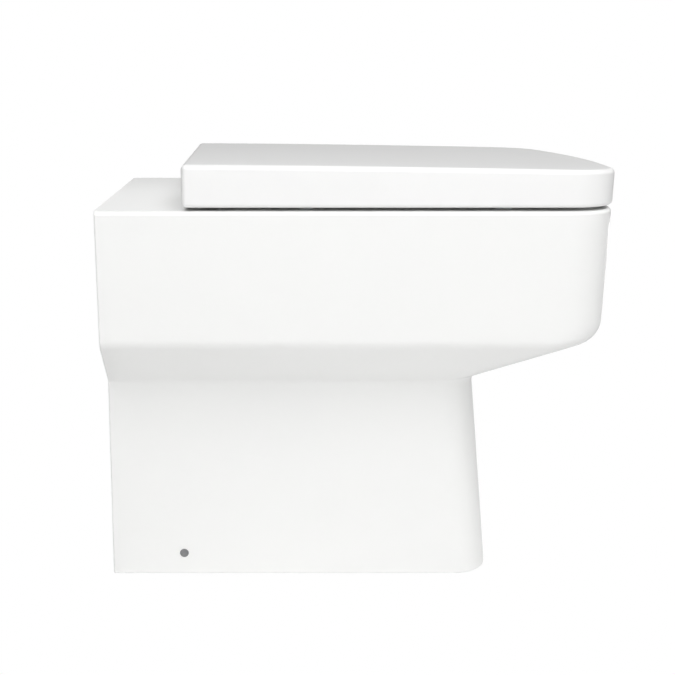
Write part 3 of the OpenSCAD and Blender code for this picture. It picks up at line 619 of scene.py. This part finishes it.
# %% [markdown]
# ## Lid
# A wrap-over lid is a shallow box that is pressed in one piece, with walls that hide the
# seat. Its top falls a little towards the front, faster as it goes. The outlines are
# drawn level and bridged, and then the upper ones are laid over to that fall.

# %% Lid form
TOP = 440.0                                 # where the level outlines are drawn
LID_H, LID_FALL = 40.4, 6.0
LID_CORNER, LID_BOW, LID_REAR = 52.5, 850.5, 5


def lid_top(out):
    """The height of the lid's top at a distance from the wall."""
    along = max(out - LID_BACK, 0) / (LID_L - LID_BACK)
    return LID_FLOOR + LID_H - LID_FALL * along ** 1.5


def lid_form(name, rings):
    """A closed solid through rings of [inset, height], of which the last is the top."""
    form = new_piece(name)
    for inset, z in rings:
        half_outline(LID_HW - inset, LID_BACK + inset, LID_L - inset, LID_CORNER - inset,
                     LID_BOW - inset, max(LID_REAR - inset, 0.5), z, sides=14)
    bridge([z for inset, z in rings])
    last = rings[-1][1]
    pick(lambda x, out, z: near(z, last))
    bpy.ops.mesh.extrude_region_move()
    bpy.ops.transform.resize(value=(0, 1, 1), center_override=(0, 0, 0))
    mirrored(form)
    cap(rings[0][1])
    edit = bmesh.from_edit_mesh(form.data)
    for v in edit.verts:
        if v.co.z / MM > TOP - 12:
            v.co.z += (lid_top(WALL - v.co.y / MM) - TOP) * MM
    tidy(form)
    return form


FOOT, EDGE, WALL_T, TOP_T = 3.5, 5.0, 4.0, 4.5
lid = lid_form("lid_shell", [
    (FOOT * (1 - math.sin(a)), LID_FLOOR + FOOT * (1 - math.cos(a))) for a in QUARTER] + [
    (EDGE * (1 - math.cos(a)), TOP - EDGE * (1 - math.sin(a))) for a in QUARTER])
IN_R = 3.0
inside = lid_form("lid_inside", [(WALL_T, LID_FLOOR - PAST)] + [
    (WALL_T + IN_R * (1 - math.cos(a)), TOP - TOP_T - IN_R * (1 - math.sin(a)))
    for a in QUARTER[::2]])
report(lid)

# %% [markdown]
# The underside carries two barrels for the hinge, each on a web, and two bosses for the
# buffers. Slots in the back wall let the pillars pass when the lid is raised.

# %% Lid fittings
KNUCKLE, GAP, BARREL_L, BARREL_R = 10.0, 0.5, 28.0, 8.0
BORE_R, BORE_L, KEY_HW, KEY_H = 6.02, 24.0, 1.22, 6.82
WEB_T, BOSS_R, STEM_R, SLOT_HW = 4, 8, 3.02, 11.5
BUFFER_X, BUFFER_OUT = 95.665, 454.5


def barrel(piece, side, out):
    """Joins a barrel to a piece, outwards (out = 1) or inwards of a knuckle's face."""
    face = HINGE_X + out * (KNUCKLE + GAP)
    x0, x1 = side * face, side * (face + out * BARREL_L)
    combine(piece, cylinder("barrel", BARREL_R, at(x0, AXIS_BACK, AXIS_Z),
                            at(x1, AXIS_BACK, AXIS_Z)), "UNION")
    return x0, x1


def barrel_bore(piece, side, out):
    """The blind bore and keyway that take a damper or a bush."""
    face = HINGE_X + out * (KNUCKLE + GAP)
    x0, x1 = side * (face - out), side * (face + out * BORE_L)
    combine(piece, cylinder("bore", BORE_R, at(x0, AXIS_BACK, AXIS_Z),
                            at(x1, AXIS_BACK, AXIS_Z)), "DIFFERENCE")
    combine(piece, block("keyway", x0, x1, AXIS_BACK - KEY_HW, AXIS_BACK + KEY_HW, AXIS_Z,
                         AXIS_Z + KEY_H), "DIFFERENCE")


combine(lid, inside, "DIFFERENCE")
for side in (-1, 1):
    x0, x1 = barrel(lid, side, 1)
    combine(lid, block("web", x0, x1, AXIS_BACK - WEB_T, AXIS_BACK + WEB_T, AXIS_Z + WEB_T,
                       lid_top(AXIS_BACK) - 2), "UNION")
    combine(lid, block("web", x0, x1, LID_BACK + 2, AXIS_BACK - WEB_T, AXIS_Z - WEB_T,
                       AXIS_Z + WEB_T), "UNION")
    place = (side * BUFFER_X, BUFFER_OUT)
    combine(lid, cylinder("boss", BOSS_R, at(*place, SEAT_TOP + 4),
                          at(*place, lid_top(BUFFER_OUT) - 2)), "UNION")
    barrel_bore(lid, side, 1)
    combine(lid, cylinder("stem_hole", STEM_R, at(*place, SEAT_TOP), at(*place, SEAT_TOP + 8),
                          32), "DIFFERENCE")
    combine(lid, block("slot", side * HINGE_X - SLOT_HW, side * HINGE_X + SLOT_HW,
                       LID_BACK - PAST, LID_BACK + 5, LID_FLOOR - PAST,
                       lid_top(LID_BACK) - TOP_T), "DIFFERENCE")
dressed(lid, thermoset)
shade(lid)
report(lid)
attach(lid, "lid")
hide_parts("lid")

# %% [markdown]
# ## Seat ring
# The ring is a slab with the lid's outline, drawn in to clear the lid's walls. A squared
# oval that widens at both faces is cut through it, which leaves round inner edges.

# %% Seat ring
DRAWN_IN = WALL_T + 2.0
SEAT_BACK, SEAT_REAR = 124.5, 10
HOLE = (162.5, 446.5, 108, 2.4)             # back, front, half width and squareness
SEAT_R, UNDER_R = 6.0, 2.0
ARM_FRONT, ARM_Z, NOTCH_HW, NOTCH_FRONT = 130.5, 421.5, 7.5, 128
STEM_X, STEM_OUTS = 154.25, (201.3, 393.3)
edge = [(SEAT_R * (1 - math.cos(a)), SEAT_TOP - SEAT_R * (1 - math.sin(a))) for a in QUARTER]
under = [(UNDER_R * (1 - math.sin(a)), SEAT_FLOOR + UNDER_R * (1 - math.cos(a)))
         for a in QUARTER[::2]]
seat = new_piece("seat_ring_moulded")
for inset, z in under + edge:
    drawn_in = DRAWN_IN + inset
    half_outline(LID_HW - drawn_in, SEAT_BACK + inset, LID_L - drawn_in, LID_CORNER - drawn_in,
                 LID_BOW - drawn_in, SEAT_REAR - inset, z)
bridge([z for inset, z in under + edge])
mirrored(seat)
cap(SEAT_FLOOR)
cap(SEAT_TOP)
tidy(seat)

rows = [(UNDER_R, SEAT_FLOOR - PAST)] + under + edge + [(SEAT_R, SEAT_TOP + PAST)]
hole = oval_stack("hole", [(z,) + HOLE for grow, z in rows], [grow for grow, z in rows])
combine(seat, hole, "DIFFERENCE")
for side in (-1, 1):
    x0, x1 = barrel(seat, side, -1)
    combine(seat, block("arm", x0, x1, AXIS_BACK, ARM_FRONT, ARM_Z, SEAT_TOP), "UNION")
    barrel_bore(seat, side, -1)
    combine(seat, block("notch", side * HINGE_X - NOTCH_HW, side * HINGE_X + NOTCH_HW,
                        PILLAR_BACK, NOTCH_FRONT, SEAT_FLOOR - PAST, SEAT_TOP + PAST),
            "DIFFERENCE")
    for out in STEM_OUTS:
        combine(seat, cylinder("stem_hole", STEM_R, at(side * STEM_X, out, SEAT_FLOOR - PAST),
                               at(side * STEM_X, out, SEAT_FLOOR + 5), 32), "DIFFERENCE")
dressed(seat, thermoset)
shade(seat)
report(seat)
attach(seat, "seat")
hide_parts("seat_ring")

# %% [markdown]
# ## Side caps
# A small grey plug hides each side screw. It is turned with a soft edge, and stands 0.8
# mm proud of the pedestal.

# %% Side caps
CAP_R, CAP_INNER, CAP_OUTER = 4.7, 122, 124.8
caps = new_piece("side_caps_domed")
bpy.ops.object.mode_set(mode="OBJECT")
for side in (-1, 1):
    plug = cylinder("plug", CAP_R, at(side * CAP_INNER, *SIDE_FIX),
                    at(side * CAP_OUTER, *SIDE_FIX))
    bpy.ops.object.mode_set(mode="EDIT")
    pick(lambda x, out, z: near(side * x, CAP_OUTER))
    bpy.ops.mesh.bevel(offset=0.6 * MM, segments=4, affect="EDGES")
    bpy.ops.object.mode_set(mode="OBJECT")
    combine(caps, plug, "UNION")
grey_plug = finish("grey_plug", (0.23, 0.23, 0.235), (0.19, 0.19, 0.195), (0.35, 0.5),
                   scale=300, wave=900, depth=0.25)
dressed(caps, grey_plug)
shade(caps)
report(caps)
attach(caps, "pan")
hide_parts("side_caps")

# %% [markdown]
# ## Fittings
# The small fittings keep their CAD shapes. Chrome is nearly black under its mirror,
# because its colour is its reflection. Turned steel is duller, moulded nylon is satin, and
# rubber is soft and dark, or cloudy white on the buffers.

# %% Fittings
chrome = finish("polished_chrome", (0.82, 0.83, 0.84), (0.78, 0.79, 0.80), (0.04, 0.08),
                scale=60, wave=200, depth=0.02, Metallic=1.0)
steel = finish("plain_steel", (0.66, 0.66, 0.67), (0.56, 0.56, 0.57), (0.28, 0.42),
               scale=180, wave=700, depth=0.2, Metallic=1.0)
damper = finish("damper_plastic", (0.05, 0.052, 0.055), (0.035, 0.037, 0.04), (0.35, 0.5),
                scale=120, wave=900, depth=0.3)
nylon = finish("white_nylon", (0.82, 0.82, 0.79), (0.76, 0.76, 0.73), (0.35, 0.5),
               scale=90, wave=700, depth=0.2)
rubber = finish("black_rubber", (0.03, 0.03, 0.03), (0.018, 0.018, 0.018), (0.6, 0.8),
                scale=80, wave=800, depth=0.4)
buffer = finish("buffer_rubber", (0.78, 0.78, 0.77), (0.68, 0.68, 0.67), (0.4, 0.55),
                scale=150, wave=600, depth=0.15, Subsurface_Weight=0.2)
bracket = finish("bracket_plastic", (0.74, 0.74, 0.72), (0.66, 0.66, 0.64), (0.45, 0.6),
                 scale=60, wave=600, depth=0.3)

FITTINGS = {
    "hinge_pillar_left": chrome, "hinge_pillar_right": chrome,
    "lid_damper": damper, "seat_damper": damper,
    "lid_damper_shaft": steel, "seat_damper_shaft": steel, "lid_pin": steel, "seat_pin": steel,
    "lid_bush": nylon, "seat_bush": nylon, "wing_nuts": nylon,
    "fixing_studs": steel, "steel_washers": steel, "side_screws": steel,
    "cone_washers": rubber, "inlet_seal": rubber,
    "seat_buffers": buffer, "lid_buffers": buffer, "floor_brackets": bracket}
for node, material in FITTINGS.items():
    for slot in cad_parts[node].material_slots:
        slot.material = material
print(len(FITTINGS), "fittings have their finish")

# %% [markdown]
# ## Studio
# A white object on white is drawn by its edges. The floor is pale paper that throws a
# little light back up, and the camera sees it as plain white, as in the photograph.

# %% Floor
PAPER = (0.85, 0.85, 0.85, 1)
bpy.ops.object.select_all(action="DESELECT")
bpy.ops.mesh.primitive_plane_add(size=12, location=(0, 0, 0))
floor = bpy.context.object
floor.name = "floor"
paper = bpy.data.materials.new("studio_floor")
paper.use_nodes = True
tree = paper.node_tree
tree.nodes["Principled BSDF"].inputs["Base Color"].default_value = PAPER
tree.nodes["Principled BSDF"].inputs["Roughness"].default_value = 0.9
rays = tree.nodes.new("ShaderNodeLightPath")
glow = tree.nodes.new("ShaderNodeEmission")
glow.inputs["Strength"].default_value = 1.0
blend = tree.nodes.new("ShaderNodeMixShader")
tree.links.new(rays.outputs["Is Camera Ray"], blend.inputs["Fac"])
tree.links.new(tree.nodes["Principled BSDF"].outputs["BSDF"], blend.inputs[1])
tree.links.new(glow.outputs["Emission"], blend.inputs[2])
tree.links.new(blend.outputs["Shader"], tree.nodes["Material Output"].inputs["Surface"])
floor.data.materials.append(paper)
print("floor: 12 m square")

# %% [markdown]
# The room looks white to the camera and lights the object softly from all round. Glossy
# rays see a sky that is dark up to a few degrees over the horizon and white above it, so
# the flat top of the lid mirrors the dark part and turns grey, while the deck, which is
# seen a little more steeply, stays paler.

# %% Room
AMBIENT = 0.25
HORIZON, SKY = (0.072, 0.04), (0.1, 0.95)   # each a height and the strength there
world = bpy.data.worlds.new("studio")
bpy.context.scene.world = world
world.use_nodes = True
tree = world.node_tree
rays = tree.nodes.new("ShaderNodeLightPath")
shown = tree.nodes["Background"]
rooms = {}
for ray in ("Is Glossy Ray", "Is Camera Ray"):
    room = rooms[ray] = tree.nodes.new("ShaderNodeBackground")
    room.inputs["Color"].default_value = (1, 1, 1, 1)
    blend = tree.nodes.new("ShaderNodeMixShader")
    tree.links.new(rays.outputs[ray], blend.inputs["Fac"])
    tree.links.new(shown.outputs[0], blend.inputs[1])
    tree.links.new(room.outputs["Background"], blend.inputs[2])
    shown = blend
tree.links.new(shown.outputs[0], tree.nodes["World Output"].inputs["Surface"])
tree.nodes["Background"].inputs["Color"].default_value = (1, 1, 1, 1)
tree.nodes["Background"].inputs["Strength"].default_value = AMBIENT

direction = tree.nodes.new("ShaderNodeTexCoord")
parts = tree.nodes.new("ShaderNodeSeparateXYZ")
climb = tree.nodes.new("ShaderNodeMapRange")
climb.inputs["From Min"].default_value, climb.inputs["To Min"].default_value = HORIZON
climb.inputs["From Max"].default_value, climb.inputs["To Max"].default_value = SKY
tree.links.new(direction.outputs["Generated"], parts.inputs["Vector"])
tree.links.new(parts.outputs["Z"], climb.inputs["Value"])
tree.links.new(climb.outputs["Result"], rooms["Is Glossy Ray"].inputs["Strength"])
print("room: strength", AMBIENT, "on the object, and a sky for glossy rays")

# %% [markdown]
# Two broad lamps stand beside the camera and above it, and a smaller one hangs over the
# front. A fill on the far side keeps the faces there at a plain level. It isn't mirrored
# in the glaze.

# %% Lamps
def area_light(name, place, target, size, watts):
    """A rectangular lamp that faces a target."""
    bpy.ops.object.light_add(type="AREA", location=place)
    light = bpy.context.object
    light.name = name
    light.data.shape = "RECTANGLE"
    light.data.size, light.data.size_y = size
    light.data.energy = watts
    aim = [t - p for t, p in zip(target, place)]
    light.rotation_euler = (math.atan2(math.hypot(aim[0], aim[1]), -aim[2]), 0,
                            math.atan2(aim[1], aim[0]) - math.pi / 2)
    return light


area_light("key", (-2.6, 0, 1.3), (0, 0, 0.25), (2.6, 1.6), 24.5)
area_light("high", (-1.5, 0, 2.4), (0, 0, 0.2), (2.4, 1.2), 25)
area_light("over", (-0.7, -0.8, 2.3), (0, 0, 0.4), (1.4, 1.0), 13)
fill = area_light("fill", (2.6, -1.4, 0.5), (0, 0, 0.25), (2.0, 1.0), 36)
fill.visible_glossy = False

# %% [markdown]
# ## Camera
# Level with no roll, 13.7 degrees down, square to the object's side. The lens stands off
# to the right of the picture's middle, so the view is shifted to frame it as the
# photograph does.

# %% Camera
STAND, TILT, LENS, SHIFT = (-1.1656, 0.10785, 0.5182), 13.73, 55.7, 0.1276
bpy.ops.object.camera_add(location=STAND,
                          rotation=(math.radians(90 - TILT), 0, math.radians(-90)))
camera = bpy.context.object
camera.data.lens = LENS
camera.data.sensor_width = 36
camera.data.shift_x = SHIFT
bpy.context.scene.camera = camera
bpy.context.scene.view_settings.view_transform = "Standard"
print("camera:", LENS, "mm,", TILT, "degrees down")

# %% Update the scene
bpy.context.view_layer.update()
